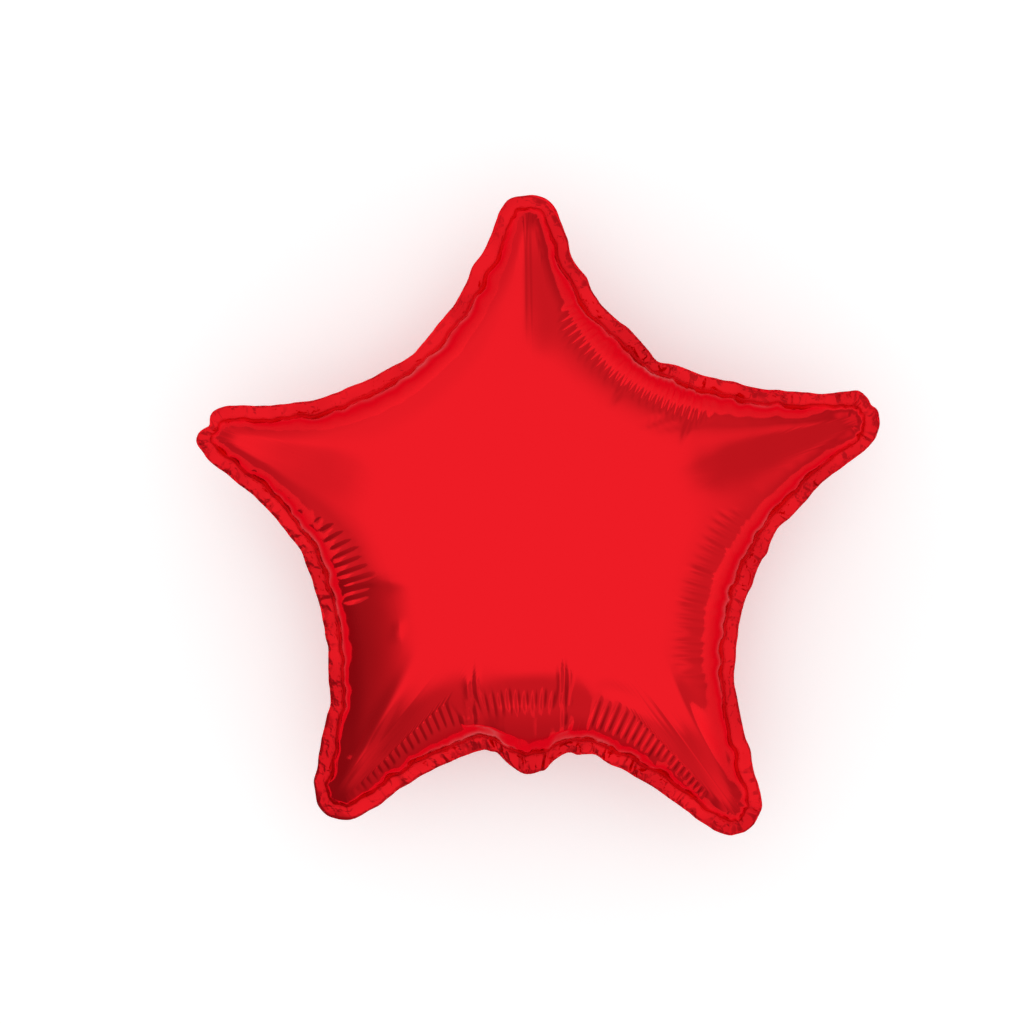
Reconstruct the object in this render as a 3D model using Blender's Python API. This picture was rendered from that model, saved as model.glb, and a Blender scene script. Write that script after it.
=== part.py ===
"""Star balloon: two sheets of metallised film, welded round their edge and blown up.

It lies on its back sheet, as it comes to rest, with +Z up and its top arm along +Y. The origin is
the middle of the small flat spot that it rests on. Lengths are in metres and angles in degrees,
counted from +X.
"""

import math

import bmesh
import bpy
import numpy as np
from mathutils import Vector
from mathutils.geometry import interpolate_bezier

# Star outline when blown up: the way each arm points, and its reach from the star's centre
RIGHT_ARM_ANGLE = 20.9
RIGHT_ARM_REACH = 0.2396
TOP_ARM_ANGLE = 91.4
TOP_ARM_REACH = 0.2297
LEFT_ARM_ANGLE = 161.1
LEFT_ARM_REACH = 0.2330
LOWER_LEFT_ARM_ANGLE = 232.1
LOWER_LEFT_ARM_REACH = 0.2266
LOWER_RIGHT_ARM_ANGLE = 306.6
LOWER_RIGHT_ARM_REACH = 0.2352

# Notches between the arms: where each is deepest, how far that is from the centre, and how
# strongly the film is pleated there
UPPER_RIGHT_NOTCH_ANGLE = 58.0
UPPER_RIGHT_NOTCH_RADIUS = 0.1473
UPPER_RIGHT_NOTCH_PLEATING = 0.8
UPPER_LEFT_NOTCH_ANGLE = 127.3
UPPER_LEFT_NOTCH_RADIUS = 0.1498
UPPER_LEFT_NOTCH_PLEATING = 0.3
LEFT_NOTCH_ANGLE = 194.5
LEFT_NOTCH_RADIUS = 0.1486
LEFT_NOTCH_PLEATING = 0.9
BOTTOM_NOTCH_ANGLE = 269.1
BOTTOM_NOTCH_RADIUS = 0.1335
BOTTOM_NOTCH_PLEATING = 1.0
RIGHT_NOTCH_ANGLE = 344.4
RIGHT_NOTCH_RADIUS = 0.1424
RIGHT_NOTCH_PLEATING = 0.6

# Each tip is an arc, and each side an S-curve from the arc's end to the notch
TIP_RADIUS = 0.0211
TIP_HALF_ANGLE = 71.0
TIP_HANDLE = 0.0274
NOTCH_HANDLE = 0.0517

# Flat tab in the bottom notch, where the filling neck was
TAB_ANGLE = 268.0
TAB_HALF_WIDTH = 0.0303
TAB_LENGTH = 0.0191

# The blown-up body and its welded seam
BODY_THICKNESS = 0.152
FULLNESS = 0.43  # under 0.5 the film is flatter over the middle and steeper at the seam
REST_SPOT_RADIUS = 0.030  # the back sheet is pressed flat where it rests
SEAM_WIDTH = 0.0085
SEAM_THICKNESS = 0.0008  # the two sheets are really 0.1 mm together

# Pleats in each notch, because the blown-up star is shorter round its seam than the flat one
PLEAT_PITCH = 0.0050
PLEAT_DEPTH = 0.0019
PLEAT_REACH = 0.030  # how far they run in from the weld
PLEATED_LENGTH = 0.120  # along the seam, centred on the notch
PLEAT_FADE = 0.030
RUFFLE_HEIGHT = 0.0018  # slow waves of the seam itself
RUFFLE_PITCH = 0.019
RUFFLE_REACH = 0.014

# Mesh: rings from the weld to the shoulder, then on to the rest spot, and points along the seam
SHOULDER_RINGS = (0.0, 0.2, 0.55, 1.0)
BODY_RINGS = (0.78, 0.57, 0.37, 0.18, 0.0)
ARM_SPACING = 0.0072
OUTLINE_STEPS = 24
ARM_ROOM_SHARE = 0.4  # the shoulder goes this far towards an arm's middle line
BULGE_WAVES = 24

FOIL_RED = (0.855, 0.012, 0.019, 1.0)
FOIL_ROUGHNESS = 0.15

ARMS = (
    (RIGHT_ARM_ANGLE, RIGHT_ARM_REACH),
    (TOP_ARM_ANGLE, TOP_ARM_REACH),
    (LEFT_ARM_ANGLE, LEFT_ARM_REACH),
    (LOWER_LEFT_ARM_ANGLE, LOWER_LEFT_ARM_REACH),
    (LOWER_RIGHT_ARM_ANGLE, LOWER_RIGHT_ARM_REACH),
)
NOTCHES = (
    (UPPER_RIGHT_NOTCH_ANGLE, UPPER_RIGHT_NOTCH_RADIUS, UPPER_RIGHT_NOTCH_PLEATING),
    (UPPER_LEFT_NOTCH_ANGLE, UPPER_LEFT_NOTCH_RADIUS, UPPER_LEFT_NOTCH_PLEATING),
    (LEFT_NOTCH_ANGLE, LEFT_NOTCH_RADIUS, LEFT_NOTCH_PLEATING),
    (BOTTOM_NOTCH_ANGLE, BOTTOM_NOTCH_RADIUS, BOTTOM_NOTCH_PLEATING),
    (RIGHT_NOTCH_ANGLE, RIGHT_NOTCH_RADIUS, RIGHT_NOTCH_PLEATING),
)
LONGEST_REACH = max(reach for _, reach in ARMS)


def polar(angle, radius):
    return Vector((math.cos(math.radians(angle)), math.sin(math.radians(angle)))) * radius


def tip_arc(angle, reach):
    """Points round one arm's tip, anticlockwise."""
    centre = polar(angle, reach - TIP_RADIUS)
    turns = np.linspace(-TIP_HALF_ANGLE, TIP_HALF_ANGLE, OUTLINE_STEPS)
    return [centre + polar(angle + turn, TIP_RADIUS) for turn in turns]


def side_curve(start, start_way, start_handle, end, end_way, end_handle):
    """Points strictly between start and end, on a cubic that leaves and arrives along the ways."""
    knots = (start, start + start_way * start_handle, end - end_way * end_handle, end)
    return [Vector(point) for point in interpolate_bezier(*knots, OUTLINE_STEPS)][1:-1]


def star_outline():
    """The trimmed edge of the seam as a dense closed loop, anticlockwise."""
    loop = []
    for index, (angle, reach) in enumerate(ARMS):
        notch_angle, notch_radius, _ = NOTCHES[index]
        next_angle, next_reach = ARMS[(index + 1) % len(ARMS)]
        arc, next_arc = tip_arc(angle, reach), tip_arc(next_angle, next_reach)
        notch, across = polar(notch_angle, notch_radius), polar(notch_angle + 90, 1)
        leaving = polar(angle + TIP_HALF_ANGLE + 90, 1)
        arriving = polar(next_angle - TIP_HALF_ANGLE + 90, 1)
        loop += arc
        loop += side_curve(arc[-1], leaving, TIP_HANDLE, notch, across, NOTCH_HANDLE)
        loop += [notch]
        loop += side_curve(notch, across, NOTCH_HANDLE, next_arc[0], arriving, TIP_HANDLE)
    return np.array(loop)


def nearness(loop, along):
    """For each notch, 1 along its pleated stretch of the loop, falling smoothly to 0 beyond it."""
    fades = []
    for angle, radius, _ in NOTCHES:
        middle = along[np.argmin(np.linalg.norm(loop - np.array(polar(angle, radius)), axis=1))]
        away = np.abs(along - middle)
        away = np.minimum(away, along[-1] - away)
        share = np.clip((away - 0.5 * PLEATED_LENGTH) / PLEAT_FADE, 0, 1)
        fades.append(0.5 * (1 + np.cos(math.pi * share)))
    return np.array(fades)


def seam_points():
    """Points along the seam's edge, two to each pleat, a whole number to each quarter of the sphere.

    Also gives each one's share of the way round, how strongly the film is pleated there, and the
    seam's length.
    """
    loop = star_outline()
    closed = np.vstack([loop, loop[:1]])
    steps = np.linalg.norm(np.diff(closed, axis=0), axis=1)
    along = np.concatenate([[0], np.cumsum(steps)])
    near = nearness(loop, along)
    pleated = (near * [[pleating] for _, _, pleating in NOTCHES]).max(axis=0)
    spacing = ARM_SPACING + (0.5 * PLEAT_PITCH - ARM_SPACING) * near.max(axis=0)
    counted = np.concatenate([[0], np.cumsum(steps / (0.5 * (spacing[1:] + spacing[:-1])))])
    count = 4 * round(counted[-1] / 4)
    place = np.interp(np.arange(count) * counted[-1] / count, counted, along)
    edge = np.column_stack([np.interp(place, along, closed[:, axis]) for axis in (0, 1)])
    return edge, place / along[-1], np.interp(place, along, pleated), along[-1]


def with_tab(edge):
    """The edge with the neck's tab pushed out of the bottom notch."""
    radius = np.hypot(edge[:, 0], edge[:, 1])
    turn = (np.degrees(np.arctan2(edge[:, 1], edge[:, 0])) - TAB_ANGLE + 180) % 360 - 180
    share = np.clip(np.radians(turn) * radius / TAB_HALF_WIDTH, -1, 1)
    return edge * (1 + TAB_LENGTH * np.cos(0.5 * math.pi * share) ** 2 / radius)[:, None]


def plan_rings(edge):
    """Plan of one sheet inside the seam: rings from the weld to the rest spot."""
    way = np.roll(edge, -1, axis=0) - np.roll(edge, 1, axis=0)
    inward = np.column_stack([-way[:, 1], way[:, 0]]) / np.linalg.norm(way, axis=1)[:, None]
    weld = edge + inward * SEAM_WIDTH
    angle, radius = np.degrees(np.arctan2(weld[:, 1], weld[:, 0])), np.hypot(weld[:, 0], weld[:, 1])
    turn = np.min([np.abs((angle - arm + 180) % 360 - 180) for arm, _ in ARMS], axis=0)
    room = ARM_ROOM_SHARE * np.hypot(radius * np.sin(np.radians(turn)), TIP_RADIUS - SEAM_WIDTH)
    reach = np.minimum(PLEAT_REACH, room)
    rings = [weld + inward * (reach * share)[:, None] for share in SHOULDER_RINGS]
    shoulder = rings[-1]
    far = np.hypot(shoulder[:, 0], shoulder[:, 1])[:, None]
    for share in BODY_RINGS:
        rings.append(shoulder / far * (REST_SPOT_RADIUS + (far - REST_SPOT_RADIUS) * share))
    return np.array(rings)


def bulge_terms(points):
    """The bulge of a disc, and the waves that fit it to another outline."""
    place = (points[..., 0] + 1j * points[..., 1]) / LONGEST_REACH
    waves = [place**count for count in range(BULGE_WAVES + 1)]
    return -np.abs(place) ** 2, np.stack([w.real for w in waves] + [w.imag for w in waves[1:]], axis=-1)


def blown_height(rings):
    """Height of each point above the seam's plane, and of the crown.

    Even pressure bulges a skin so that its curvature is the same all over and its edge stays put.
    A disc's bulge plus waves that add no curvature does both. The height is a root of that bulge.
    """
    disc, waves = bulge_terms(rings[0])
    sizes = np.linalg.lstsq(waves, -disc, rcond=None)[0]
    disc, waves = bulge_terms(rings)
    bulge = np.maximum(disc + waves @ sizes, 0)
    bulge[0] = 0
    return 0.5 * BODY_THICKNESS * (bulge / sizes[0]) ** FULLNESS


def foil_material():
    material = bpy.data.materials.new("red_foil")
    material.use_nodes = True
    shader = material.node_tree.nodes["Principled BSDF"]
    shader.inputs["Base Color"].default_value = FOIL_RED
    shader.inputs["Metallic"].default_value = 1.0
    shader.inputs["Roughness"].default_value = FOIL_ROUGHNESS
    return material


def ruffle(place, pleated, length):
    """Height of the seam's own waves: two beating against each other, a whole number of each."""
    slow = round(length / RUFFLE_PITCH)
    quick = round(1.6 * slow)
    beat = np.sin(2 * math.pi * slow * place) + 0.8 * np.sin(2 * math.pi * quick * place)
    return 0.55 * RUFFLE_HEIGHT * beat * (0.3 + 0.7 * pleated)


def shape_balloon(mesh):
    """Makes a UV sphere into the balloon: its poles become the crowns, its equator the seam."""
    edge, place, pleated, length = seam_points()
    rings = plan_rings(edge)
    height = blown_height(rings)
    tabbed = with_tab(edge)
    wave = ruffle(place, pleated, length)
    depth = np.linalg.norm(rings - rings[0], axis=2)
    carried = wave * np.exp(-((depth / RUFFLE_REACH) ** 2))
    half_seam = 0.5 * SEAM_THICKNESS
    seam_level = half_seam + height[-1].min()
    crown = 0.5 * BODY_THICKNESS

    count, last = len(edge), len(rings)
    bands = 2 * last + 3
    bmesh.ops.create_uvsphere(mesh, u_segments=count, v_segments=bands, radius=1.0)
    numbered = {}
    for vertex in mesh.verts:
        band = round(math.acos(max(-1.0, min(1.0, vertex.co.z))) / math.pi * bands)
        side = 1 if band <= last + 1 else -1
        ring = last - min(band, bands - band)
        point = round(math.atan2(vertex.co.y, vertex.co.x) / (2 * math.pi) * count) % count
        if ring == last:
            vertex.co = (0, 0, seam_level + side * (half_seam + crown))
            continue
        if ring < 0:
            vertex.co = (*tabbed[point], seam_level + wave[point] + side * half_seam)
        else:
            rise = carried[ring, point] + side * (half_seam + height[ring, point])
            vertex.co = (*rings[ring, point], seam_level + rise)
        numbered[side, ring, point] = vertex
    return numbered, pleated


def fold_pleats(mesh, numbered, pleated):
    """Folds the film in zigzags that start at the weld and die out at the shoulder."""
    mesh.normal_update()
    moves = {}
    for (_, ring, point), vertex in numbered.items():
        if 0 < ring < len(SHOULDER_RINGS) - 1:
            fold = -0.75 if point % 2 else 0.25
            fade = math.sin(math.pi * SHOULDER_RINGS[ring] ** 0.6)
            moves[vertex] = vertex.normal * fold * fade * PLEAT_DEPTH * pleated[point]
    for vertex, move in moves.items():
        vertex.co += move


def thin_out(mesh, numbered):
    """Halves the points of the smooth rings inside the shoulder."""
    pairs = {}
    for (side, ring, point), vertex in numbered.items():
        if ring >= len(SHOULDER_RINGS) and point % 2:
            pairs[vertex] = numbered[side, ring, point - 1]
    bmesh.ops.weld_verts(mesh, targetmap=pairs)


def press_flat(mesh):
    """Presses the back sheet flat where it rests."""
    for vertex in mesh.verts:
        vertex.co.z = max(vertex.co.z, 0.0)


def build_balloon():
    mesh = bmesh.new()
    numbered, pleated = shape_balloon(mesh)
    fold_pleats(mesh, numbered, pleated)
    thin_out(mesh, numbered)
    press_flat(mesh)
    data = bpy.data.meshes.new("star_balloon")
    mesh.to_mesh(data)
    mesh.free()
    data.materials.append(foil_material())
    data.shade_smooth()
    return bpy.data.objects.new("star_balloon", data)


for leftover in list(bpy.data.objects):
    bpy.data.objects.remove(leftover)
parts = bpy.data.collections.new("Star balloon")
bpy.context.scene.collection.children.link(parts)
parts.objects.link(build_balloon())
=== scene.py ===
# %% [markdown]
# # A star balloon of red foil
#
# The balloon is two sheets of metallised film, heat-sealed round their edge and blown up. It lies on
# its back sheet, and the camera looks straight down on it. A lesson in a few steps: the seam's
# outline, the shape that the gas gives the film, the folds that the film can't avoid, then foil,
# studio and camera.
#
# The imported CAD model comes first. It fixes where the balloon lies and how large it may be.

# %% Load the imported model
import math

import bmesh
import bpy
import numpy as np
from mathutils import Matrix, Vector, noise


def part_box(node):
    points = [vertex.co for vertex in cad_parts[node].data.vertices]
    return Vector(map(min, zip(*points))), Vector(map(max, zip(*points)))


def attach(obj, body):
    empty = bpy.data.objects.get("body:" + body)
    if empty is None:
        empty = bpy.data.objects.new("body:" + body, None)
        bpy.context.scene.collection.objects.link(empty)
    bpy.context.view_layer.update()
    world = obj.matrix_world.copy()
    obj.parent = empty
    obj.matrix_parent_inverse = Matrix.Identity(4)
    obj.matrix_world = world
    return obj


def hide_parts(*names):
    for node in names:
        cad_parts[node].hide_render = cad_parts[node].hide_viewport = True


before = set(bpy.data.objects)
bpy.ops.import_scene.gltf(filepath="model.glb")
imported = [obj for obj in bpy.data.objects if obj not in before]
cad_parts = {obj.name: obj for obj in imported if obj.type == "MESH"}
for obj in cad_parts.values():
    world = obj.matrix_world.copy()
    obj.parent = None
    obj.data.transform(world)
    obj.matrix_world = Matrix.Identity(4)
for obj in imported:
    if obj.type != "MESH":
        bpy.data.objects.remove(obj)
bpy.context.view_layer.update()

low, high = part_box("star_balloon")
MM = 0.001
HAIR = 0.001 * MM  # as good as nothing

# %% [markdown]
# ## The outline
#
# Film doesn't stretch, so a blown-up star isn't the star that was cut: its notches fill out and its
# arms draw in. Each arm of the blown-up one ends in an arc, and an S-curve joins that arc to the
# bottom of the next notch. A cubic needs only its two ends and two handles for that, so ten angles
# and ten distances from the centre, with one arc and two handles for all, give the whole outline.
#
# A plan point is kept as one complex number, X + Yj. Turning it is then a multiplication, and
# numpy works on whole outlines at once.

# %% Arms, notches and the seam's outline
ARMS = {  # the way each arm points, in degrees from +X, and its reach
    "right": (20.9, 239.6 * MM),
    "top": (91.4, 229.7 * MM),
    "left": (161.1, 233.0 * MM),
    "lower_left": (232.1, 226.6 * MM),
    "lower_right": (306.6, 235.2 * MM),
}
NOTCHES = {  # the same for the deepest point of the notch that follows each arm
    "upper_right": (58.0, 147.3 * MM),
    "upper_left": (127.3, 149.8 * MM),
    "left": (194.5, 148.6 * MM),
    "bottom": (269.1, 133.5 * MM),
    "right": (344.4, 142.4 * MM),
}
TIP_RADIUS = 21.1 * MM
TIP_HALF_ANGLE = 71.0
TIP_HANDLE = 27.4 * MM
NOTCH_HANDLE = 51.7 * MM
OUTLINE_STEPS = 60


def way(degrees):
    return np.exp(1j * np.radians(degrees))


def tip_arc(angle, reach):
    turns = np.linspace(-TIP_HALF_ANGLE, TIP_HALF_ANGLE, OUTLINE_STEPS)
    return (reach - TIP_RADIUS) * way(angle) + TIP_RADIUS * way(angle + turns)


def cubic(start, start_handle, end_handle, end):
    share = np.linspace(0, 1, OUTLINE_STEPS + 2)[1:-1]
    rest = 1 - share
    return (rest**3 * start + 3 * rest**2 * share * (start + start_handle)
            + 3 * rest * share**2 * (end + end_handle) + share**3 * end)


def star_outline():
    arms = list(ARMS.values())
    loop = []
    next_arms = arms[1:] + arms[:1]
    for (angle, reach), (turn, radius), (after, far) in zip(arms, NOTCHES.values(), next_arms):
        arc = tip_arc(angle, reach)
        next_arc = tip_arc(after, far)
        notch = radius * way(turn)
        across = 1j * way(turn)
        leaving = 1j * way(angle + TIP_HALF_ANGLE)
        arriving = 1j * way(after - TIP_HALF_ANGLE)
        loop += [arc, cubic(arc[-1], leaving * TIP_HANDLE, -across * NOTCH_HANDLE, notch), [notch],
                 cubic(notch, across * NOTCH_HANDLE, -arriving * TIP_HANDLE, next_arc[0])]
    return np.concatenate(loop)


outline = star_outline()
print("outline points:", len(outline), "width in mm:", round(np.ptp(outline.real) / MM, 1))
print("width of the solid in mm:", round((high[0] - low[0]) / MM, 1))

# %% [markdown]
# ## Points along the seam
#
# The mesh gets its columns here. A pleat is about 4.4 mm wide, and needs six columns to have a round
# top and a sharp furrow. The arms have no pleats and need fewer. So the spacing changes along the
# seam, and the columns are laid out by counting steps of that spacing.
#
# Each pleated stretch has a middle and a length, a fade before it and one after it, a strength, and
# the distances in from the weld at which its pleats start and end. The film is pleated most in the
# bottom notch, which has three such stretches.

# %% Columns of the mesh, six to each pleat
PLEAT_PITCH = 4.4 * MM
COLUMNS_PER_PLEAT = 6
PITCH_VARIETY = 0.10
PITCH_WANDER = 19 * MM
ARM_SPACING = 1.7 * MM
PLEATED = {  # middle in degrees, length, fade before and after it, strength, the pleats' start and end
    "upper_right": (60.0, 85 * MM, 30 * MM, 30 * MM, 0.8, 9 * MM, 24 * MM),
    "left": (192.0, 20 * MM, 60 * MM, 14 * MM, 0.65, 14 * MM, 28 * MM),
    "bottom_left": (243.0, 74 * MM, 8 * MM, 8 * MM, 0.85, 18 * MM, 36 * MM),
    "neck": (265.5, 50 * MM, 6 * MM, 6 * MM, 0.65, 20 * MM, 30 * MM),
    "bottom_right": (292.6, 80 * MM, 8 * MM, 8 * MM, 0.8, 13 * MM, 30 * MM),
    "right": (343.0, 80 * MM, 25 * MM, 25 * MM, 0.2, 14 * MM, 34 * MM),
}

steps = np.abs(np.roll(outline, -1) - outline)
along = np.concatenate([[0], np.cumsum(steps)])
seam_length = along[-1]


def seam_place(angle):
    """Where along the seam the ray at this angle crosses it."""
    return along[np.argmin(np.abs(np.angle(outline / way(angle))))]


def from_place(points, middle):
    """Signed distance along the seam from a place to each point."""
    return (points - middle + 0.5 * seam_length) % seam_length - 0.5 * seam_length


def wander(length, seed):
    """A smooth random line round the seam, about 1 high, that changes over the given length."""
    turn = 2 * math.pi * along / seam_length
    size = seam_length / (2 * math.pi * length)
    return np.array([2 * noise.noise(Vector((size * math.cos(t), size * math.sin(t), seed)))
                     for t in turn])


def near_middle(name):
    """1 along a pleated stretch of the seam, falling smoothly to 0 beyond it."""
    middle, length, before, after = PLEATED[name][:4]
    away = from_place(along, seam_place(middle))
    fade = np.where(away < 0, before, after)
    share = np.clip((np.abs(away) - 0.5 * length) / fade, 0, 1)
    return 0.5 * (1 + np.cos(math.pi * share))


nearness = {name: near_middle(name) for name in PLEATED}
fine = np.max(list(nearness.values()), axis=0)
column_step = PLEAT_PITCH / COLUMNS_PER_PLEAT * (1 + PITCH_VARIETY * wander(PITCH_WANDER, seed=3.5))
spacing = ARM_SPACING + (column_step - ARM_SPACING) * fine
counted = np.concatenate([[0], np.cumsum(steps / (0.5 * (spacing[1:] + spacing[:-1])))])
pleat_pair = 2 * COLUMNS_PER_PLEAT
columns = pleat_pair * round(counted[-1] / pleat_pair)
place = np.interp(np.arange(columns) * counted[-1] / columns, counted, along)
print("columns:", columns, "pleats:", columns // COLUMNS_PER_PLEAT)


def at_columns(values):
    """Values along the seam, read off at each column."""
    closed = np.append(values, values[0]) if len(values) < len(along) else values
    return np.interp(place, along, closed)


edge = at_columns(outline.real) + 1j * at_columns(outline.imag)


def by_angle(stops):
    """A value at each column, from values given at a few angles round the star."""
    around = np.degrees(np.angle(edge)) % 360
    return np.interp(around, list(stops), list(stops.values()), period=360)


# %% [markdown]
# ## The plan of one sheet
#
# Rows run round the star, from the trimmed edge of the seam across the weld and up to the crown.
# Near the seam they go straight in from it, so that the pleats do too, and they are closest at the
# weld, where the film turns up most sharply. Further in they shrink towards the centre. The rows that
# go straight in take up to 42 mm. An arm is narrower than that, so there they take about half of the
# room between the weld and the arm's middle line, and lie closer together.

# %% Rows of the mesh, from the seam's edge to the rest spot
SEAM_WIDTH = 8.5 * MM
SHOULDER = 42 * MM
TIP_ROOM_SHARE = 0.5  # of the room up to an arm's middle line, for the rows that go straight in
WIDE_ROOM = 22 * MM  # further than this from an arm's middle line there is more room to spare
WIDE_ROOM_SHARE = 0.35
REST_SPOT_RADIUS = 30 * MM
SEAM_ROWS = np.array([0, 0.25, 0.5, 0.76, 0.96])
SHOULDER_ROWS = np.linspace(0, 1, 18) ** 1.35
BODY_ROWS = 1 - np.linspace(0, 1, 14)[1:] ** 1.5
WELD = len(SEAM_ROWS)

tangent = np.roll(edge, -1) - np.roll(edge, 1)
inward = 1j * tangent / np.abs(tangent)
weld = edge + inward * SEAM_WIDTH


def from_arm(point, arm):
    """Distance out along an arm's middle line, and aside from it."""
    turned = point / way(ARMS[arm][0])
    return turned.real, turned.imag


by_arm = [from_arm(weld, arm) for arm in ARMS]
aside = np.min([np.where(out > 0, np.abs(side), np.inf) for out, side in by_arm], axis=0)
room = np.hypot(aside, TIP_RADIUS - SEAM_WIDTH)
reach = TIP_ROOM_SHARE * room + WIDE_ROOM_SHARE * np.maximum(room - WIDE_ROOM, 0)
reach = np.minimum(SHOULDER, reach)
shoulder = weld + inward * reach
towards = shoulder / np.abs(shoulder)
body_radii = REST_SPOT_RADIUS + (np.abs(shoulder) - REST_SPOT_RADIUS) * BODY_ROWS[:, None]
plan = np.vstack([edge + (weld - edge) * SEAM_ROWS[:, None],
                  weld + inward * reach * SHOULDER_ROWS[:, None],
                  towards * body_radii])
depth = np.vstack([SEAM_WIDTH * (SEAM_ROWS[:, None] - 1) + 0 * reach,
                   reach * SHOULDER_ROWS[:, None],
                   reach + np.abs(shoulder) - body_radii])
rows = len(plan)
print("rows:", rows, "triangles to come:", 4 * rows * columns)

# %% [markdown]
# ## How the gas shapes the film
#
# Gas pushes evenly everywhere. A skin under even pressure takes a bulge with the same curvature all
# over and its edge held down, as a soap film does. For a disc that bulge is R² - r². For a star, waves
# that add no curvature (the real and imaginary parts of the powers of X + Yj) are fitted so that the
# whole is 0 along the weld. Foil can't stretch as a soap film can, so it is flatter on top and
# steeper at the weld: the height is a root of that bulge, with a power just under a half.

# %% The bulge
HALF_THICKNESS = 76 * MM
FULLNESS = 0.43
BULGE_WAVES = 24
FARTHEST = max(far for _, far in ARMS.values())
FOOT = 1.5 * MM  # the film leaves the weld at a slope, and is upright only this far in
FOOT_POWER = 0.8
FOOT_VARIETY = 0.3  # the foot is wider and narrower by turns, because the shrunk film gathers there
FOOT_WANDER = 6 * MM
SEAM_HALF_THICKNESS = 0.12 * MM


def bulge_waves(points):
    powers = [(points / FARTHEST) ** count for count in range(BULGE_WAVES + 1)]
    return np.stack([p.real for p in powers] + [p.imag for p in powers[1:]], axis=-1)


wave_sizes = np.linalg.lstsq(bulge_waves(weld), np.abs(weld / FARTHEST) ** 2, rcond=None)[0]


def blown(points):
    bulge = bulge_waves(points) @ wave_sizes - np.abs(points / FARTHEST) ** 2
    return HALF_THICKNESS * (np.maximum(bulge, 0) / wave_sizes[0]) ** FULLNESS


foot_width = FOOT * np.exp(FOOT_VARIETY * at_columns(wander(FOOT_WANDER, seed=4.7)))
height = blown(plan) * (1 - np.exp(-(np.maximum(depth, 0) / foot_width) ** FOOT_POWER))
height[:WELD + 1] = 0
seam_level = SEAM_HALF_THICKNESS + height[-1].min()
print("half thickness in mm:", round(height.max() / MM, 1), "seam level in mm:", round(seam_level / MM, 1))

# %% [markdown]
# ## The seam's edge: kinks and the tab
#
# The trimmed edge isn't a clean curve any more. Where the seam has buckled it is drawn in, and
# between such places it stands out. The weld wobbles too, by about a millimetre. The tab of the
# filling neck sticks out of the bottom notch. It is open inside, so the foot of the body follows it
# and swells.

# %% Kinks and the tab
EDGE_KINKS = (  # angle, how far the edge is drawn in there (below 0 it stands out), and its length
    (2.8, 2.1 * MM, 8 * MM), (11.6, 1.4 * MM, 12 * MM), (20.7, -1.7 * MM, 12 * MM),
    (22.2, 1.6 * MM, 3 * MM), (24.7, -1.9 * MM, 5 * MM), (27.7, 1.6 * MM, 8 * MM),
    (38.7, -1.0 * MM, 8 * MM), (56.5, 3.8 * MM, 8 * MM), (66.8, -2.0 * MM, 12 * MM),
    (79.3, -1.5 * MM, 5 * MM), (82.5, 1.3 * MM, 8 * MM), (91.9, 1.4 * MM, 8 * MM),
    (102.3, -2.4 * MM, 12 * MM), (123.5, 2.8 * MM, 12 * MM), (140.9, -1.2 * MM, 12 * MM),
    (160.2, 4.1 * MM, 5 * MM), (163.4, -2.0 * MM, 5 * MM), (181.9, 1.2 * MM, 8 * MM),
    (207.2, 1.4 * MM, 5 * MM), (217.2, 1.3 * MM, 8 * MM), (223.6, -1.7 * MM, 12 * MM),
    (228.1, 1.8 * MM, 8 * MM), (239.0, -1.0 * MM, 8 * MM), (258.8, 1.8 * MM, 3 * MM),
    (273.8, -1.7 * MM, 3 * MM), (281.0, -1.8 * MM, 5 * MM), (285.5, 1.7 * MM, 5 * MM),
    (315.4, -1.2 * MM, 12 * MM), (325.5, 1.8 * MM, 12 * MM), (349.0, -1.8 * MM, 12 * MM),
    (357.3, -1.3 * MM, 5 * MM),
)
KINK_REACH = 6 * MM
KINK_AT_WELD = 0.4
FOOT_ROOM_SHARE = 0.4  # a kink or crinkle reaches in no further than this share of the first rows
WOBBLE = 1.1 * MM
WOBBLE_LENGTH = 8 * MM
WOBBLE_AT_EDGE = 0.3
TAB_ANGLE = 267.75
TAB_HALF_WIDTH = 30.0 * MM
TAB_LENGTH = 19.6 * MM
TAB_SWELL = 13 * MM
TAB_SHARPNESS = 1.5
TAB_AT_WELD = 0.8


def fading_in(distance):
    """1 on the seam, falling to 0 over this distance in from the weld, or less in an arm's tip."""
    return np.exp(-(np.maximum(depth, 0) / np.minimum(distance, FOOT_ROOM_SHARE * reach)) ** 2)


kinks = sum(size * np.exp(-(from_place(place, seam_place(angle)) / length) ** 2)
            for angle, size, length in EDGE_KINKS)
wobble = WOBBLE * at_columns(wander(WOBBLE_LENGTH, seed=9.3))
towards_edge = np.clip(-depth / SEAM_WIDTH, 0, 1)
kinked = kinks * (KINK_AT_WELD + (1 - KINK_AT_WELD) * towards_edge)
wobbled = wobble * (1 - (1 - WOBBLE_AT_EDGE) * towards_edge)
from_tab = from_place(place, seam_place(TAB_ANGLE)) / TAB_HALF_WIDTH
tab = np.cos(0.5 * math.pi * np.clip(from_tab, -1, 1)) ** TAB_SHARPNESS
swell = np.exp(-(np.maximum(depth, 0) / TAB_SWELL) ** 2)
plan = plan + inward * (kinked + wobbled) * fading_in(KINK_REACH)
plan = plan - inward * tab * TAB_LENGTH * (TAB_AT_WELD + (1 - TAB_AT_WELD) * towards_edge) * swell
print("edge drawn in by up to", round(kinks.max() / MM, 1), "mm")

# %% [markdown]
# ## The seam's crinkles
#
# The seam is longer than the line it now has to follow, so it buckles. It droops in places and waves
# up and down, in long waves with small sharp folds on them, most at its free edge. How much it does
# so differs round the star, so both are given at a few angles and run smoothly between them.

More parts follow.
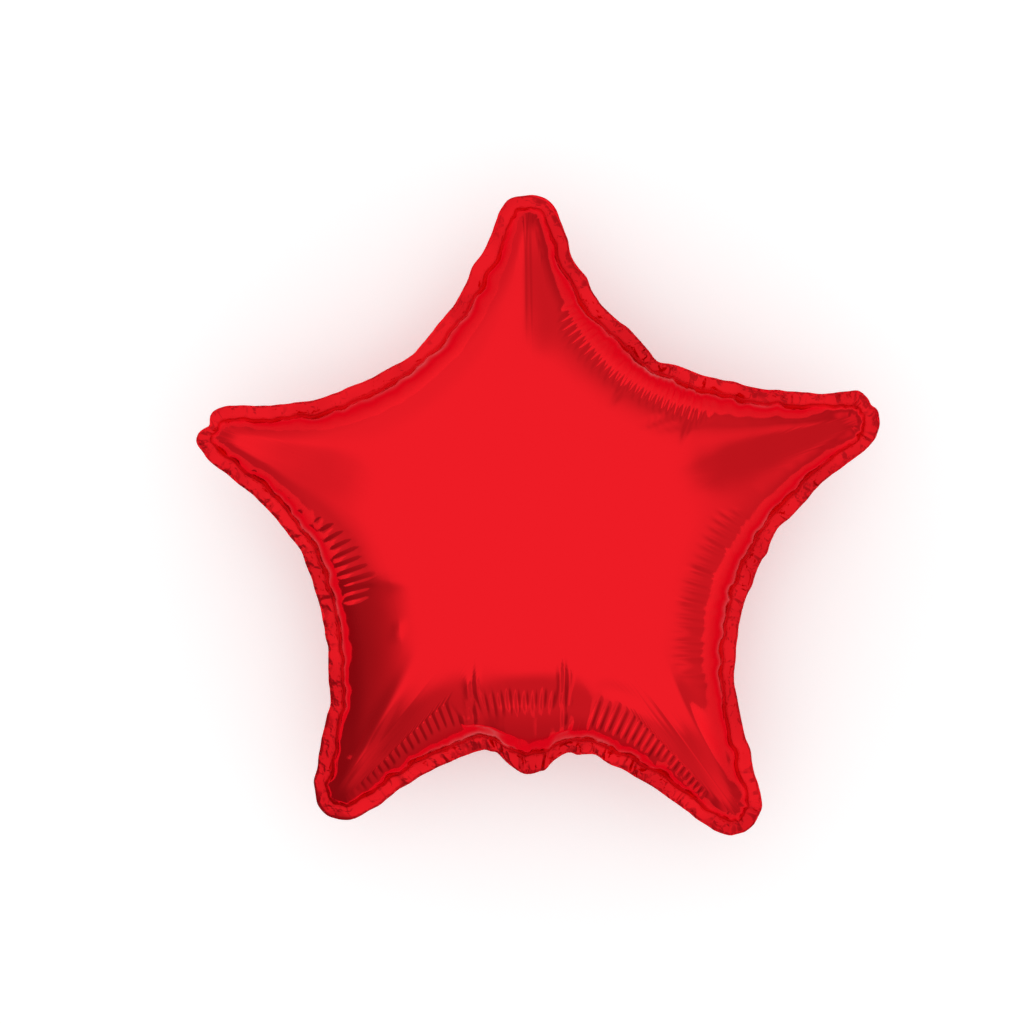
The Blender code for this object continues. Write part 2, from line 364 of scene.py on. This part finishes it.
# %% Crinkles and droop
CRINKLE_HEIGHT = 3.2 * MM
CRINKLE_REACH = 8 * MM
CRINKLE_AT_WELD = 0.6
LONG_WAVES = (7.5 * MM, 22 * MM)  # their size along the seam and at a right angle to it
LONG_WAVES_SHARE = 0.75
SMALL_FOLDS = (4.2 * MM, 9 * MM)
SMALL_FOLDS_SHARE = 0.2
SMALL_FOLDS_SHARPNESS = 2.6
CRINKLING = {
    5: 0.7, 22: 1.1, 40: 0.8, 56: 1.0, 72: 0.7, 86: 0.3, 98: 0.3, 112: 0.45, 130: 0.3, 148: 0.5,
    161: 1.1, 172: 0.7, 195: 0.9, 212: 0.6, 226: 0.25, 238: 0.4, 252: 1.0, 268: 1.1, 285: 1.0,
    298: 0.8, 307: 0.8, 318: 0.4, 330: 0.5, 346: 0.8,
}
DROOP = {
    10: 2.2 * MM, 22: 2.8 * MM, 60: 2.8 * MM, 90: 3.6 * MM, 118: 3.0 * MM, 160: 2.2 * MM,
    195: 2.4 * MM, 226: 1.6 * MM, 255: 2.4 * MM, 300: 2.4 * MM, 330: 2.8 * MM,
}
DROOP_SHARE = 0.6
DROOP_VARIETY = 0.8
DROOP_WANDER = 30 * MM


def crumpled(along_size, across_size, seed):
    """Noise over the sheet, with the given sizes along the seam and at a right angle to it."""
    turn = 2 * math.pi * place / seam_length
    size = seam_length / (2 * math.pi * along_size)
    ring = size * np.stack([np.cos(turn), np.sin(turn)], axis=-1)
    return np.array([[2 * noise.noise(Vector((x, y, deep / across_size + seed)))
                      for (x, y), deep in zip(ring, row)] for row in depth])


long_waves = crumpled(*LONG_WAVES, seed=1.7)
small_folds = 1 - SMALL_FOLDS_SHARPNESS * np.abs(crumpled(*SMALL_FOLDS, seed=8.2))
buckled = LONG_WAVES_SHARE * long_waves + SMALL_FOLDS_SHARE * small_folds
looseness = CRINKLE_AT_WELD * fading_in(CRINKLE_REACH) + (1 - CRINKLE_AT_WELD) * towards_edge
crinkle = CRINKLE_HEIGHT * by_angle(CRINKLING) * looseness * buckled
droop = by_angle(DROOP) * (DROOP_SHARE + DROOP_VARIETY * at_columns(wander(DROOP_WANDER, seed=5.1)))
crinkle -= droop * towards_edge**2
print("seam crinkles in mm:", round(crinkle.min() / MM, 1), "to", round(crinkle.max() / MM, 1))

# %% [markdown]
# ## Pleats
#
# The film of a notch has to go round a tighter curve than it was cut for, so it gathers into fine
# pleats that stand straight in from the seam. Each has a round top, and a sharp furrow on each side.
# No two furrows are equally deep or long, so each gets its own size from a seeded generator.

# %% Pleats in a sheet
PLEAT_DEPTH = 1.5 * MM
PLEAT_SIZES = (0.8, 1.1)
PLEAT_RISE = 3 * MM
PLEAT_RAGGEDNESS = 1.2 * MM
LATEST_START = 0.7  # a share of the rows that go straight in
LATEST_END = 1.1
PLEAT_ROOM = (8 * MM, 14 * MM)  # no pleats where those rows take less than the first of these


def smooth_step(value, low, high):
    share = np.clip((value - low) / (high - low), 0, 1)
    return share * share * (3 - 2 * share)


def pleats(seed):
    """How far the film is folded in at each row and column."""
    chance = np.random.default_rng(seed)
    count = columns // COLUMNS_PER_PLEAT
    number = np.arange(columns) / COLUMNS_PER_PLEAT
    nearest = np.round(number).astype(int) % count
    furrow = 1 - np.sin(math.pi * np.abs(number - np.round(number)))
    size = chance.uniform(*PLEAT_SIZES, count)[nearest]
    ragged = chance.uniform(-1, 1, (2, count))[:, nearest] * PLEAT_RAGGEDNESS
    total = 0 * depth
    for name, (_, _, _, _, strength, start, end) in PLEATED.items():
        near = at_columns(nearness[name])
        first = np.minimum(start, LATEST_START * reach) + ragged[0]
        last = np.minimum(start + (end - start) * near**3, LATEST_END * reach) + ragged[1]
        rise = smooth_step(depth, first - PLEAT_RISE, first)
        fall = smooth_step(depth, last - PLEAT_RISE, last + PLEAT_RISE)
        total = np.maximum(total, strength * np.minimum(1, 2 * near**2) * rise * (1 - fall))
    roomy = smooth_step(reach, *PLEAT_ROOM)
    return PLEAT_DEPTH * size * furrow * roomy * total


# %% [markdown]
# ## Creases
#
# A few folds are too large for a pattern, so each is listed on its own. Short creases run in from the
# seam, and one sags across the bottom notch, from one side of the filling valve to the other. Each
# arm has either a ridge along its middle, or a flat face between two ridges that spread from its tip.
#
# The front sheet also has dents and raised places with soft sides. The last seven lie in the bottom
# notch: the film that stands up over the valve, and two upright creases at its sides, each of them
# one dent between two raised lines.

# %% Creases of the notches and of the arms
CREASE_RISE = 6 * MM
CREASE_FADE = 14 * MM
CREASES = (  # angle, start, end, width and depth; a depth below 0 is a ridge
    (353.6, 10 * MM, 34 * MM, 1.6 * MM, -0.5 * MM),
    (347.4, 12 * MM, 40 * MM, 1.6 * MM, -0.6 * MM),
    (341.5, 10 * MM, 44 * MM, 1.8 * MM, -0.6 * MM),
    (334.4, 12 * MM, 36 * MM, 1.6 * MM, -0.5 * MM),
    (328.7, 12 * MM, 34 * MM, 1.8 * MM, -0.5 * MM),
    (60.0, 10 * MM, 40 * MM, 2.0 * MM, 0.7 * MM),
    (45.0, 16 * MM, 42 * MM, 1.8 * MM, 0.8 * MM),
    (128.0, 8 * MM, 30 * MM, 3.0 * MM, 0.4 * MM),
)
VALVE_SIDES = (253.5, 277.4)
VALVE_SAG = (16 * MM, 10 * MM, 11 * MM)  # left end, lowest point and right end, in from the weld
VALVE_CREASE_WIDTH = 2.4 * MM
VALVE_CREASE_DEPTH = -2.4 * MM
VALVE_FLATTENING = 0.15
VALVE_REACH = (2 * MM, 40 * MM)  # the flattening fades out between these, in from the weld
ARM_FOLDS = {  # arm: slope added along its middle (below 0 a flat face), and the ridge's half angle
    "top": (0.14, 13.0),
    "lower_left": (0.12, 11.0),
    "lower_right": (0.20, 12.0),
    "right": (-0.12, 17.0),
    "left": (-0.14, 16.0),
}
ARM_FOLD_FADE = (95 * MM, 150 * MM)
WIDEST_ARM_FOLD = 16 * MM
DENTS = (  # place, direction, half length, half width to each side, depth (below 0 it is raised), sharpness
    (-2 + 168j, 91.0, 42, 3.5, 11.0, 1.8, 4),
    (60 - 99j, -21.0, 20, 6.0, 6.0, 1.2, 4),
    (81.6 + 80.3j, 19.0, 13, 1.6, 1.6, 1.0, 4),
    (92 + 76j, 8.0, 16, 2.2, 2.2, 0.6, 4),
    (-89 - 57j, 80.0, 6, 2.4, 2.4, -0.7, 4),
    (-118 - 84j, 88.0, 57, 30.0, 30.0, 3.0, 20),
    (-108 - 127.5j, 60.6, 38, 5.0, 5.0, -5.0, 2),
    (124 - 133j, -67.8, 38, 8.0, 8.0, 2.2, 4),
    (104 - 120j, -61.9, 30, 5.0, 11.0, -4.5, 2),
    (203.7 + 77.8j, 110.9, 30, 16.0, 16.0, 3.0, 4),
    (-13 - 112j, 90.0, 11, 18.0, 22.0, -6.0, 2),
    (-44.0 - 98j, 92.0, 19, 1.5, 1.5, -0.7, 4),
    (-41.2 - 98j, 92.0, 22, 1.4, 1.4, 0.9, 4),
    (-38.4 - 98j, 92.0, 20, 1.5, 1.5, -0.8, 4),
    (15.2 - 98j, 90.0, 20, 1.5, 1.5, -0.8, 4),
    (18.0 - 98j, 90.0, 23, 1.4, 1.4, 0.9, 4),
    (20.8 - 98j, 90.0, 20, 1.5, 1.5, -0.8, 4),
)


def notch_creases():
    total = 0 * depth
    for angle, start, end, width, size in CREASES:
        beside = np.exp(-(from_place(place, seam_place(angle)) / width) ** 2)
        shown = smooth_step(depth, start, start + CREASE_RISE)
        faded = smooth_step(depth, end - CREASE_FADE, end)
        total += size * beside * shown * (1 - faded)
    return total


def valve_crease():
    left, right = (from_place(place, seam_place(angle)) for angle in VALVE_SIDES)
    share = np.clip(left / (left - right), 0, 1)
    start, lowest, end = VALVE_SAG
    sag = start + (end - start) * share - 4 * (0.5 * (start + end) - lowest) * share * (1 - share)
    between = (left > 0) & (right < 0)
    return VALVE_CREASE_DEPTH * between * np.exp(-((depth - sag) / VALVE_CREASE_WIDTH) ** 2)


def neck_flatness():
    """1, and less in the neck, because the flat valve holds the film down there."""
    return 1 - VALVE_FLATTENING * tab * (1 - smooth_step(depth, *VALVE_REACH))


def arm_folds():
    """Height added along each arm."""
    total = 0 * depth
    for arm, (slope, half_angle) in ARM_FOLDS.items():
        out, side = from_arm(plan, arm)
        tip = ARMS[arm][1] - SEAM_WIDTH
        half_width = np.maximum((tip - out) * math.tan(math.radians(half_angle)), HAIR)
        across = np.clip(np.abs(side) / half_width, 0, 1)
        ridge = (1 - across) ** 1.5 if slope > 0 else (1 - across**2) ** 2
        strength = smooth_step(out, *ARM_FOLD_FADE) * (out < tip)
        total += slope * np.minimum(half_width, WIDEST_ARM_FOLD) * ridge * strength
    return total


def dents():
    total = 0 * depth
    for middle, degrees, half_length, left, right, size, sharpness in DENTS:
        turned = (plan / MM - middle) / way(degrees)
        ends = (np.abs(turned.real) / half_length) ** sharpness
        half_width = np.where(turned.imag > 0, left, right)
        total -= size * MM * np.exp(-ends - (turned.imag / half_width) ** 2)
    return total


# %% [markdown]
# ## The sheets
#
# The folds push the film along its own normal, not straight down, because in the notches it stands
# nearly upright. So each sheet is worked out smooth first, then its normals, then its folds.

# %% The front and the back sheet
UNEVENNESS = 0.3 * MM
UNEVENNESS_LENGTH = 55 * MM
FOLDS_BEGIN = 10 * MM  # arm folds, dents and unevenness fade in over this distance from the weld


def normals(points):
    round_seam = np.roll(points, -1, axis=1) - np.roll(points, 1, axis=1)
    inwards = np.gradient(points, axis=0)
    normal = np.cross(round_seam, inwards)
    return normal / np.linalg.norm(normal, axis=2, keepdims=True)


def uneven(seed):
    """A slow random height over the whole sheet."""
    spots = plan / UNEVENNESS_LENGTH
    return UNEVENNESS * np.array([[noise.noise(Vector((spot.real, spot.imag, seed))) for spot in row]
                                  for row in spots])


def sheet(side, seed):
    body = smooth_step(depth, 0, FOLDS_BEGIN)
    lift = height * neck_flatness() + body * (arm_folds() + uneven(seed))
    if side > 0:
        lift += body * dents()
    level = seam_level + crinkle + side * (SEAM_HALF_THICKNESS + lift)
    points = np.stack([plan.real, plan.imag, level], axis=-1)
    folds = pleats(seed) + notch_creases() + valve_crease()
    points = points - side * normals(points) * folds[..., None]
    points[..., 2] = np.maximum(points[..., 2], 0)
    return points


front = sheet(1, 11)
back = sheet(-1, 23)
print("front sheet's top in mm:", round(front[..., 2].max() / MM, 1))

# %% [markdown]
# ## One closed mesh
#
# A grid already has rows and columns. It is made with as many as the balloon needs: one row of points
# for the front crown, the front sheet's rows, the back sheet's rows, and one for the back crown. Its
# points are moved to their places, and then its two sides are merged into each other, and each crown's
# row into one point.
#
# The mesh also gets a UV map in which U is the distance along the seam and V the distance in from the
# weld. The foil's material reads it, to be crumpled on the seam and smooth elsewhere.

# %% Mesh of the balloon
def balloon_mesh():
    mesh = bmesh.new()
    last = 2 * rows + 1
    seam_map = mesh.loops.layers.uv.new("seam_map")
    bmesh.ops.create_grid(mesh, x_segments=columns, y_segments=last, size=1, calc_uvs=True)
    along_seam = np.append(place, seam_length)
    deep = np.vstack([depth[-1], depth[::-1], depth, depth[-1]])
    for face in mesh.faces:
        for corner in face.loops:
            column, row = round(corner[seam_map].uv.x * columns), round(corner[seam_map].uv.y * last)
            corner[seam_map].uv = (along_seam[column], deep[row, column % columns])
    crown = Vector((0, 0, front[..., 2].max()))
    border = []
    for point in mesh.verts:
        column = round((point.co.x + 1) / 2 * columns)
        row = round((point.co.y + 1) / 2 * last)
        if row in (0, last) or column in (0, columns):
            border.append(point)
        if row == 0:
            point.co = crown
        elif row == last:
            point.co = (0, 0, 0)
        elif row <= rows:
            point.co = front[rows - row, column % columns]
        else:
            point.co = back[row - rows - 1, column % columns]
    bmesh.ops.remove_doubles(mesh, verts=border, dist=HAIR)
    bmesh.ops.recalc_face_normals(mesh, faces=mesh.faces)
    print("open edges:", sum(not edge.is_manifold for edge in mesh.edges))
    print("volume in litres:", round(1000 * mesh.calc_volume(), 2))
    data = bpy.data.meshes.new("foil_balloon")
    mesh.to_mesh(data)
    mesh.free()
    data.shade_smooth()
    return data


balloon = bpy.data.objects.new("foil_balloon", balloon_mesh())
bpy.context.scene.collection.objects.link(balloon)
print("faces:", len(balloon.data.polygons))

# %% [markdown]
# ## Foil
#
# The film is polyester with aluminium evaporated on to it and a red lacquer over that. To the eye it
# is a coloured mirror, so it is metallic 1 with little roughness. The lacquer tints all that the metal
# reflects, even at a grazing angle, so the edge tint is reddish too and no edge turns white.
#
# Three bumps make the mirror real: a slow waviness of the stretched film, the fine peel of its
# lacquer, and on the seam a crumple of small facets, where two sheets have been hot-pressed together
# and then bent. The seam is a little duller too, and the edge of the sealing bar has left a matt line
# beside it. In a band just in from the weld, where the film turns steeply up, and in the most
# crumpled stretches of the seam, the red is painted a little deeper: painted shade.

# %% Colour and node helpers, and the foil
def linear(hex_colour):
    """An sRGB hex colour as linear red, green, blue and alpha."""
    parts = [int(hex_colour[i:i + 2], 16) / 255 for i in (1, 3, 5)]
    return [c / 12.92 if c <= 0.04045 else ((c + 0.055) / 1.055) ** 2.4 for c in parts] + [1]


def add(tree, kind, settings=None, **inputs):
    """A node with its settings; an input is a value, or another node's output to link."""
    node = tree.nodes.new(kind)
    for name, value in (settings or {}).items():
        setattr(node, name, value)
    for name, value in inputs.items():
        key = int(name[1:]) if name[0] == "i" and name[1:].isdigit() else name.replace("_", " ")
        if isinstance(value, bpy.types.NodeSocket):
            tree.links.new(value, node.inputs[key])
        else:
            node.inputs[key].default_value = value
    return node


def maths(tree, operation, *values):
    """What a Math node makes of these values."""
    slots = {f"i{slot}": value for slot, value in enumerate(values)}
    return add(tree, "ShaderNodeMath", {"operation": operation}, **slots).outputs[0]


def map_range(tree, value, start, end, shares=(0.0, 1.0), kind="SMOOTHSTEP"):
    """The first share where the value is at the start, the second where it is at the end."""
    return add(tree, "ShaderNodeMapRange", {"interpolation_type": kind}, Value=value,
               From_Min=start, From_Max=end, To_Min=shares[0], To_Max=shares[1]).outputs["Result"]


FOIL_RED = "#EE1C25"
# painted shade: a deeper red for a band in from the weld and for the most crumpled stretches of the seam
PAINTED_SHADE_RED = "#D6161F"
EDGE_TINT = "#F2B4B7"
FILM_WAVE = 38 * MM
FILM_WAVE_HEIGHT = 0.5 * MM
FOIL_ROUGHNESS = (0.09, 0.15)  # in the wave's hollows, and on its tops
PRESSED_ROUGHNESS = 0.03
LACQUER_PEEL = 1.4 * MM
LACQUER_PEEL_HEIGHT = 0.006 * MM
FACET = 5.5 * MM
FACET_SHARE = 0.35
CRUMPLE = 11 * MM
CRUMPLE_HEIGHT = 0.7 * MM
CRUMPLE_RANGE = (0.60, 0.82)  # of the pattern: flat below the first, full height above the second
CRUMPLED_STRETCH = 42 * MM
STRETCH_RANGE = (0.34, 0.60)
STRETCH_SHARES = (0.25, 1.0)  # how crumpled the seam is, from its calm stretches to its worst
PATCH_RANGE = (0.42, 0.58)
PATCH_SHARES = (0.25, 0.9)  # how much of the painted shade those stretches get
CRUMPLED_DEPTH = (-1.0 * MM, 5 * MM)  # fully crumpled outside the first, smooth inside the second
PAINTED_SHADE_DEPTH = (1 * MM, 5 * MM, 8 * MM, 20 * MM)  # from no painted shade to full, and to none again
HOT_LINE = 0.6 * MM  # the sealing bar's edge leaves the film matt along a line at this depth
HOT_LINE_HALF_WIDTH = (0.8 * MM, 2.6 * MM)
HOT_LINE_ROUGHNESS = 0.3


def pattern(tree, kind, size, settings=None, **inputs):
    """A procedural pattern of the given size, in the piece's own coordinates."""
    spot = add(tree, "ShaderNodeTexCoord").outputs["Object"]
    return add(tree, kind, settings, Vector=spot, Scale=1 / size, **inputs)


def red_metallised_film():
    material = bpy.data.materials.new("red metallised film")
    material.use_nodes = True
    tree = material.node_tree
    shader = tree.nodes["Principled BSDF"]
    shader.inputs["Metallic"].default_value = 1.0
    shader.inputs["Specular Tint"].default_value = linear(EDGE_TINT)

    where = add(tree, "ShaderNodeUVMap", {"uv_map": "seam_map"}).outputs["UV"]
    deep = add(tree, "ShaderNodeSeparateXYZ", Vector=where).outputs["Y"]
    pressed = map_range(tree, deep, CRUMPLED_DEPTH[1], CRUMPLED_DEPTH[0])
    facets = pattern(tree, "ShaderNodeTexVoronoi", FACET, Randomness=1.0).outputs["Distance"]
    folds = pattern(tree, "ShaderNodeTexNoise", CRUMPLE, Detail=3.0, Roughness=0.55).outputs["Fac"]
    sharp = map_range(tree, maths(tree, "MULTIPLY_ADD", facets, FACET_SHARE, folds), *CRUMPLE_RANGE)
    stretches = pattern(tree, "ShaderNodeTexNoise", CRUMPLED_STRETCH, Detail=2.0).outputs["Fac"]
    share = map_range(tree, stretches, *STRETCH_RANGE, STRETCH_SHARES, "LINEAR")
    crumple = maths(tree, "MULTIPLY", sharp, maths(tree, "MULTIPLY", share, pressed))
    wave = pattern(tree, "ShaderNodeTexNoise", FILM_WAVE, Detail=1.0).outputs["Fac"]
    peel = pattern(tree, "ShaderNodeTexNoise", LACQUER_PEEL, Detail=1.0).outputs["Fac"]

    bump = add(tree, "ShaderNodeBump", Distance=FILM_WAVE_HEIGHT, Height=wave)
    bump = add(tree, "ShaderNodeBump", Distance=LACQUER_PEEL_HEIGHT, Height=peel, Normal=bump.outputs[0])
    bump = add(tree, "ShaderNodeBump", Distance=CRUMPLE_HEIGHT, Height=crumple, Normal=bump.outputs[0])
    tree.links.new(bump.outputs[0], shader.inputs["Normal"])

    smooth = map_range(tree, wave, 0.0, 1.0, FOIL_ROUGHNESS, "LINEAR")
    dull = maths(tree, "MULTIPLY_ADD", pressed, PRESSED_ROUGHNESS, smooth)
    off_line = maths(tree, "ABSOLUTE", maths(tree, "SUBTRACT", deep, HOT_LINE))
    matt = map_range(tree, off_line, HOT_LINE_HALF_WIDTH[1], HOT_LINE_HALF_WIDTH[0])
    dull = maths(tree, "MULTIPLY_ADD", matt, HOT_LINE_ROUGHNESS, dull)
    tree.links.new(dull, shader.inputs["Roughness"])

    # painted shade: the red turns deeper in a band in from the weld, where the film turns up, and in the
    # most crumpled stretches of the seam
    begins = map_range(tree, deep, PAINTED_SHADE_DEPTH[0], PAINTED_SHADE_DEPTH[1])
    ends = map_range(tree, deep, PAINTED_SHADE_DEPTH[3], PAINTED_SHADE_DEPTH[2])
    patches = map_range(tree, stretches, *PATCH_RANGE, PATCH_SHARES, "LINEAR")
    painted_shade = maths(tree, "MULTIPLY_ADD", patches, pressed, maths(tree, "MULTIPLY", begins, ends))
    colour = add(tree, "ShaderNodeMix", {"data_type": "RGBA"}, i0=painted_shade,
                 i6=linear(FOIL_RED), i7=linear(PAINTED_SHADE_RED))
    tree.links.new(colour.outputs[2], shader.inputs["Base Color"])
    return material


balloon.data.materials.append(red_metallised_film())
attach(balloon, "root")
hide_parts("star_balloon")

# %% [markdown]
# ## Studio
#
# A mirror shows its surroundings, so the studio matters as much as the foil. Overhead all is one white
# diffuser. Round the balloon stands a ring of grey cards, which fade out upwards into the diffuser.
# They aren't alike: the ones at the upper left are nearly white, and the darkest one stands at the
# lower left. A bent card close to the lower left arm gives the foil its darkest reflection. The
# camera doesn't see any of them.
#
# The floor is white. It gets less light than a card facing the diffuser would, so a little light of
# its own takes it to white, and leaves the balloon's shadow on it. Only the camera, reflections and
# what is seen through something get that light, so it doesn't light the balloon.

# %% Floor
FLOOR_WHITE = "#F8F8F8"
FLOOR_SIZE = 12.0
FLOOR_GLOW = 0.24


def plain_object(name, mesh, material):
    data = bpy.data.meshes.new(name)
    mesh.to_mesh(data)
    mesh.free()
    data.materials.append(material)
    plain = bpy.data.objects.new(name, data)
    bpy.context.scene.collection.objects.link(plain)
    return plain


def white_paper():
    material = bpy.data.materials.new("white paper")
    material.use_nodes = True
    tree = material.node_tree
    paper = tree.nodes["Principled BSDF"]
    paper.inputs["Base Color"].default_value = linear(FLOOR_WHITE)
    paper.inputs["Roughness"].default_value = 0.9
    paper.inputs["Specular IOR Level"].default_value = 0.0
    ray = add(tree, "ShaderNodeLightPath").outputs
    seen = maths(tree, "MAXIMUM", ray["Is Camera Ray"], ray["Is Glossy Ray"])
    seen = maths(tree, "MAXIMUM", seen, ray["Is Transmission Ray"])
    glow = add(tree, "ShaderNodeEmission", Color=(1, 1, 1, 1), Strength=FLOOR_GLOW)
    bright = add(tree, "ShaderNodeAddShader", i0=paper.outputs[0], i1=glow.outputs[0])
    mixed = add(tree, "ShaderNodeMixShader", i0=seen, i1=paper.outputs[0], i2=bright.outputs[0])
    tree.links.new(mixed.outputs[0], tree.nodes["Material Output"].inputs["Surface"])
    return material


mesh = bmesh.new()
bmesh.ops.create_grid(mesh, x_segments=1, y_segments=1, size=FLOOR_SIZE / 2)
plain_object("studio_floor", mesh, white_paper())

# %% [markdown]
# ## Cards and diffuser
#
# A card is a plain surface that gives off a grey light and fades to clear towards its top, so that
# its reflection ends softly. The ring is one wide cylinder. A colour ramp holds its cards: its place
# on the ramp is the direction, and red, green and blue are the brightness, the height at which the
# card starts to fade, and the height over which it does.
#
# The bent card is a strip that stands 21 cm from its own middle, close enough to show in one arm and
# not in the others. It goes from dark grey on the left to a lighter grey on the right. It lights
# nothing else and throws no shadow on the floor.

# %% Cards and diffuser
CARD_DISTANCE = 3.0
RING_SIDES = 96
CARDS = (  # direction from +X, brightness, start of the fade and its extent; all but the second in degrees
    (-180, 0.70, 26, 18), (-165, 0.66, 20, 26), (-152, 0.70, 28, 16), (-138, 0.70, 30, 14),
    (-120, 0.44, 33, 14), (-102, 0.58, 34, 16), (-92, 0.80, 30, 16), (-80, 0.88, 28, 14),
    (-68, 0.86, 30, 14), (-56, 0.60, 39, 11), (-42, 0.66, 30, 18), (-20, 0.70, 10, 32),
    (0, 0.62, 26, 22), (14, 0.58, 40, 11), (28, 0.58, 40, 11), (42, 0.58, 14, 32), (52, 0.58, 12, 32),
    (62, 0.68, 22, 22), (76, 0.62, 30, 16), (91, 0.55, 35, 12), (104, 0.80, 30, 16),
    (118, 0.93, 10, 20), (145, 0.92, 20, 20), (156, 0.80, 33, 12), (166, 0.74, 34, 11),
    (180, 0.70, 26, 18),
)


def card_material(name, shade):
    """Grey light that fades to clear; shade gives its brightness and how faded it is at each spot."""
    material = bpy.data.materials.new(name)
    material.use_nodes = True
    tree = material.node_tree
    tree.nodes.clear()
    spot = add(tree, "ShaderNodeTexCoord").outputs["Object"]
    tone, faded = shade(tree, add(tree, "ShaderNodeSeparateXYZ", Vector=spot).outputs)
    card = add(tree, "ShaderNodeEmission", Color=(1, 1, 1, 1), Strength=tone)
    clear = add(tree, "ShaderNodeBsdfTransparent")
    mixed = add(tree, "ShaderNodeMixShader", i0=faded, i1=card.outputs[0], i2=clear.outputs[0])
    add(tree, "ShaderNodeOutputMaterial", Surface=mixed.outputs[0])
    material.cycles.emission_sampling = "NONE"
    return material


def ring_shade(tree, spot):
    angle = maths(tree, "ARCTAN2", spot["Y"], spot["X"])
    turn = map_range(tree, angle, -math.pi, math.pi, kind="LINEAR")
    ramp = add(tree, "ShaderNodeValToRGB", Fac=turn)
    stops = ramp.color_ramp.elements
    stops.remove(stops[-1])
    for index, (degrees, tone, start, fade) in enumerate(CARDS):
        stop = stops.new((degrees + 180) / 360) if index else stops[0]
        stop.position = (degrees + 180) / 360
        stop.color = (tone, math.radians(start), math.radians(fade), 1)
    card = add(tree, "ShaderNodeSeparateColor", Color=ramp.outputs["Color"]).outputs
    height = maths(tree, "ARCTAN2", spot["Z"], CARD_DISTANCE)
    above = maths(tree, "SUBTRACT", height, card["Green"])
    return card["Red"], map_range(tree, above, 0.0, card["Blue"])


def ring_of_cards():
    height = CARD_DISTANCE * math.tan(math.radians(max(start + fade for _, _, start, fade in CARDS)))
    mesh = bmesh.new()
    bmesh.ops.create_cone(mesh, cap_ends=False, segments=RING_SIDES, radius1=CARD_DISTANCE,
                          radius2=CARD_DISTANCE, depth=height)
    bmesh.ops.translate(mesh, verts=mesh.verts, vec=(0, 0, height / 2))
    cards = plain_object("studio_cards", mesh, card_material("grey cards", ring_shade))
    cards.visible_camera = False


BENT_CARD_PLACE = (-105 * MM, -130 * MM)  # the middle of the arc that it is bent to
BENT_CARD_RADIUS = 0.21
BENT_CARD_ENDS = (167, 315)
BENT_CARD_GREYING = (-0.13, -0.04)  # along X, it turns from dark to light grey between these
BENT_CARD_TONES = (0.34, 0.64)
BENT_CARD_STARTS = (0.08, 0.22)  # the height at which the dark end and the light end start to fade
BENT_CARD_TOPS = (0.42, 0.34)  # and at which they are clear
BENT_CARD_HEIGHT = 0.42
BENT_CARD_PANELS = 40


def bent_shade(tree, spot):
    greying = map_range(tree, spot["X"], *BENT_CARD_GREYING, kind="LINEAR")
    tone, start, top = (map_range(tree, greying, 0.0, 1.0, ends, "LINEAR")
                        for ends in (BENT_CARD_TONES, BENT_CARD_STARTS, BENT_CARD_TOPS))
    return tone, map_range(tree, spot["Z"], start, top)


def bent_card():
    mesh = bmesh.new()
    bmesh.ops.create_grid(mesh, x_segments=BENT_CARD_PANELS, y_segments=1, size=1)
    first, last = BENT_CARD_ENDS
    for point in mesh.verts:
        spot = BENT_CARD_RADIUS * way(first + (last - first) * (point.co.x + 1) / 2)
        point.co = (BENT_CARD_PLACE[0] + spot.real, BENT_CARD_PLACE[1] + spot.imag,
                    BENT_CARD_HEIGHT * (point.co.y + 1) / 2)
    card = plain_object("studio_bent_card", mesh, card_material("dark to light grey card", bent_shade))
    card.visible_camera = False
    card.visible_diffuse = False
    card.visible_shadow = False


ring_of_cards()
bent_card()
world = bpy.data.worlds.new("white diffuser")
bpy.context.scene.world = world
world.use_nodes = True
world.node_tree.nodes["Background"].inputs["Color"].default_value = (1, 1, 1, 1)
print("cards' stops:", len(CARDS))

# %% [markdown]
# ## Camera
#
# The photo was taken square on to the star's front, and here the star lies on its back, so the camera
# hangs straight above it. The photo's scale is 0.658 mm a pixel at the seam, and the star's centre
# is a little right of the picture's middle and below it.

# %% Camera
PHOTO_WIDTH = 1024
MM_PER_PIXEL = 0.658 * MM
STAR_CENTRE_PIXEL = (536, 542)
CAMERA_DISTANCE = 2.5
SENSOR_WIDTH = 36


def photo_camera():
    data = bpy.data.cameras.new("camera")
    data.sensor_width = SENSOR_WIDTH
    data.lens = SENSOR_WIDTH * CAMERA_DISTANCE / (PHOTO_WIDTH * MM_PER_PIXEL)
    camera = bpy.data.objects.new("camera", data)
    across = (PHOTO_WIDTH / 2 - STAR_CENTRE_PIXEL[0]) * MM_PER_PIXEL
    up = (STAR_CENTRE_PIXEL[1] - PHOTO_WIDTH / 2) * MM_PER_PIXEL
    camera.location = (across, up, seam_level + CAMERA_DISTANCE)
    bpy.context.scene.collection.objects.link(camera)
    bpy.context.scene.camera = camera


photo_camera()
bpy.context.scene.view_settings.view_transform = "Standard"
